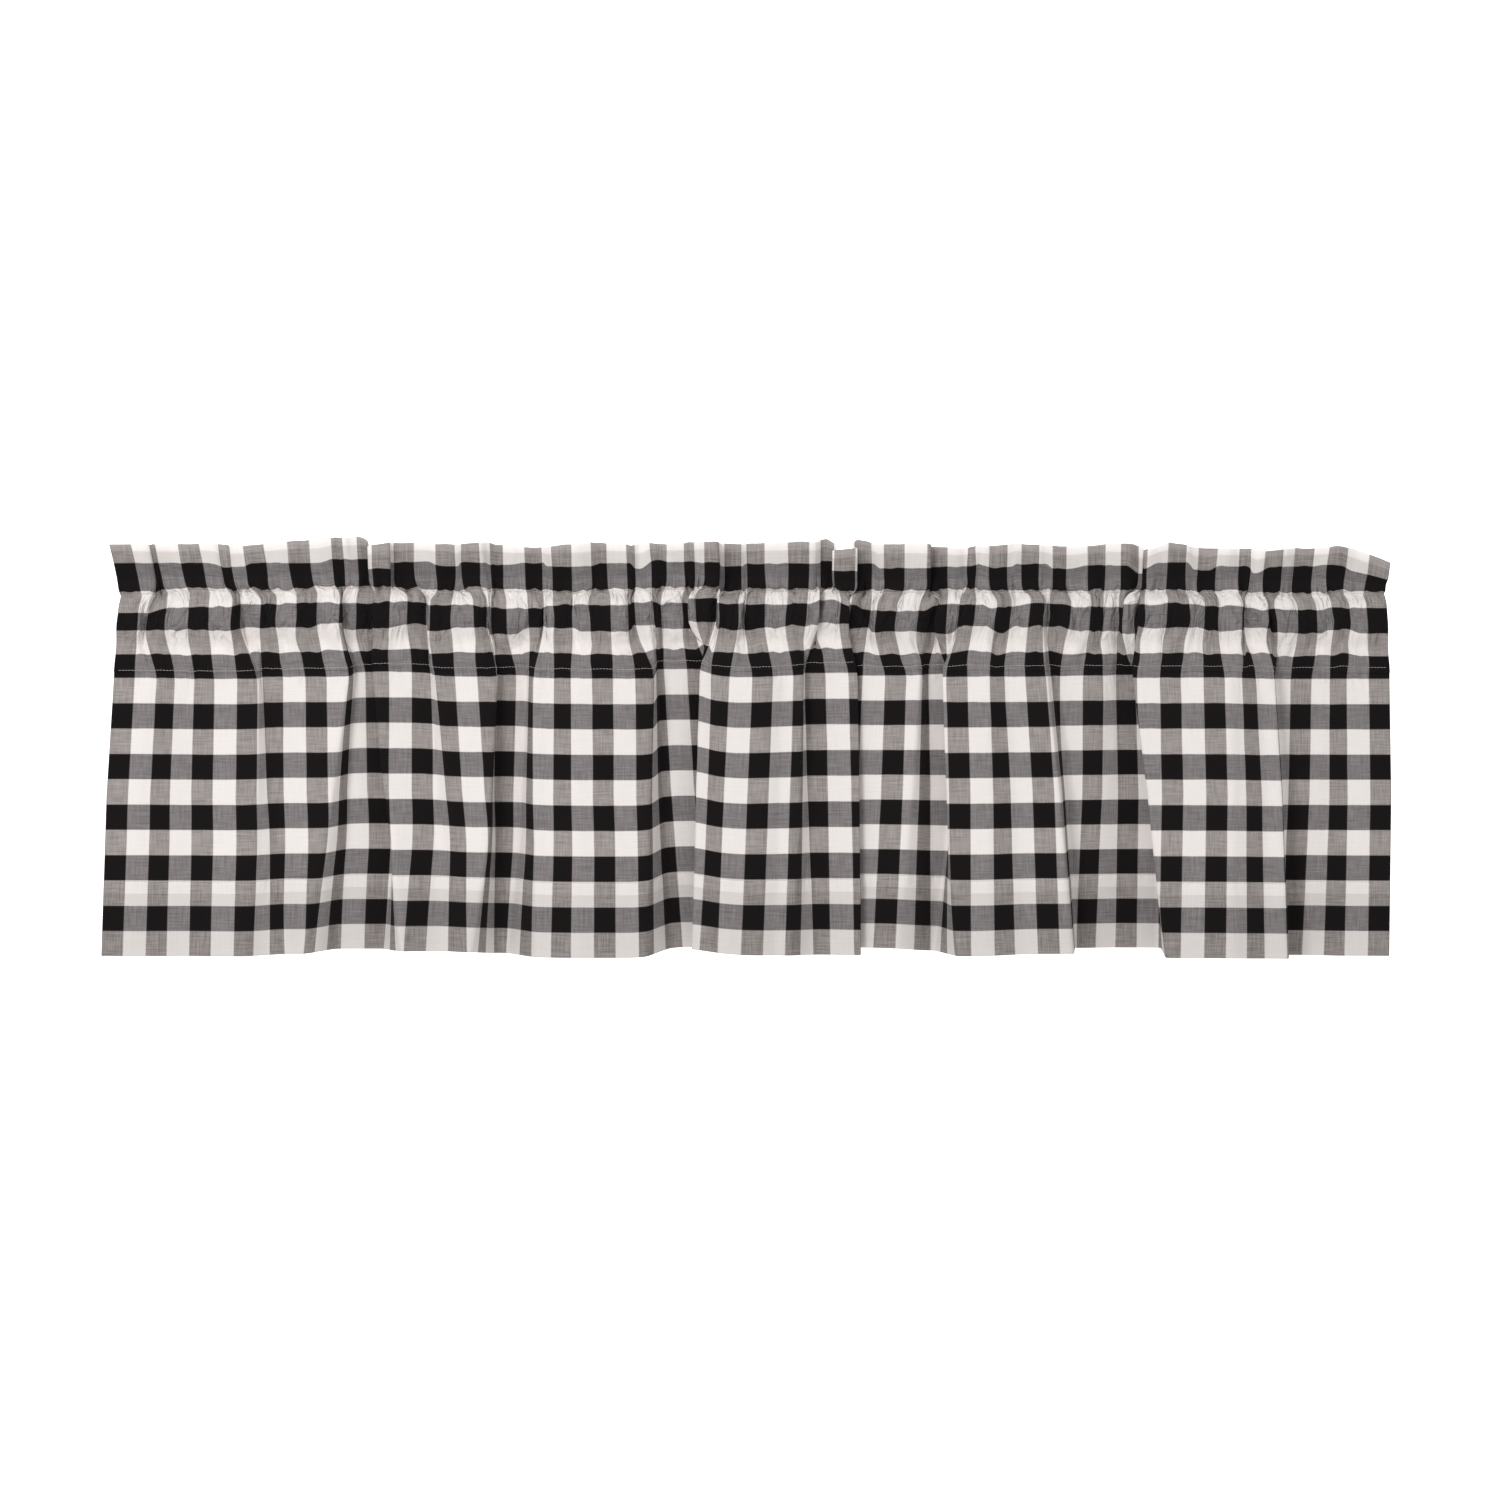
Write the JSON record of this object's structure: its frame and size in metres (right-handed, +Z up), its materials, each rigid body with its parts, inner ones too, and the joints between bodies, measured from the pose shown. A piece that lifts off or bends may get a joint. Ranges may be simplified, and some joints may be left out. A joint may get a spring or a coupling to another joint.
{
  "type": "rod-pocket window valance",
  "caption": "Gathered check cotton window valance with a standing frill, an open rod pocket along the top and a deep stitched hem.",
  "frame": {"origin": "middle of the frill's top edge, in the plane the valance hangs in", "axes": "+X along the width to the right as seen from the room, +Y away from the room, +Z up"},
  "size_m": [1.2772, 0.0603, 0.4137],
  "materials": {
    "check_cotton_doubled": "matt plain-weave cotton in a black and white check, two layers",
    "check_cotton": "matt plain-weave cotton in a black and white check, one layer with a double hem"
  },
  "bodies": {
    "root": {"heading": "check_cotton_doubled", "panel": "check_cotton"}
  },
  "joints": []
}
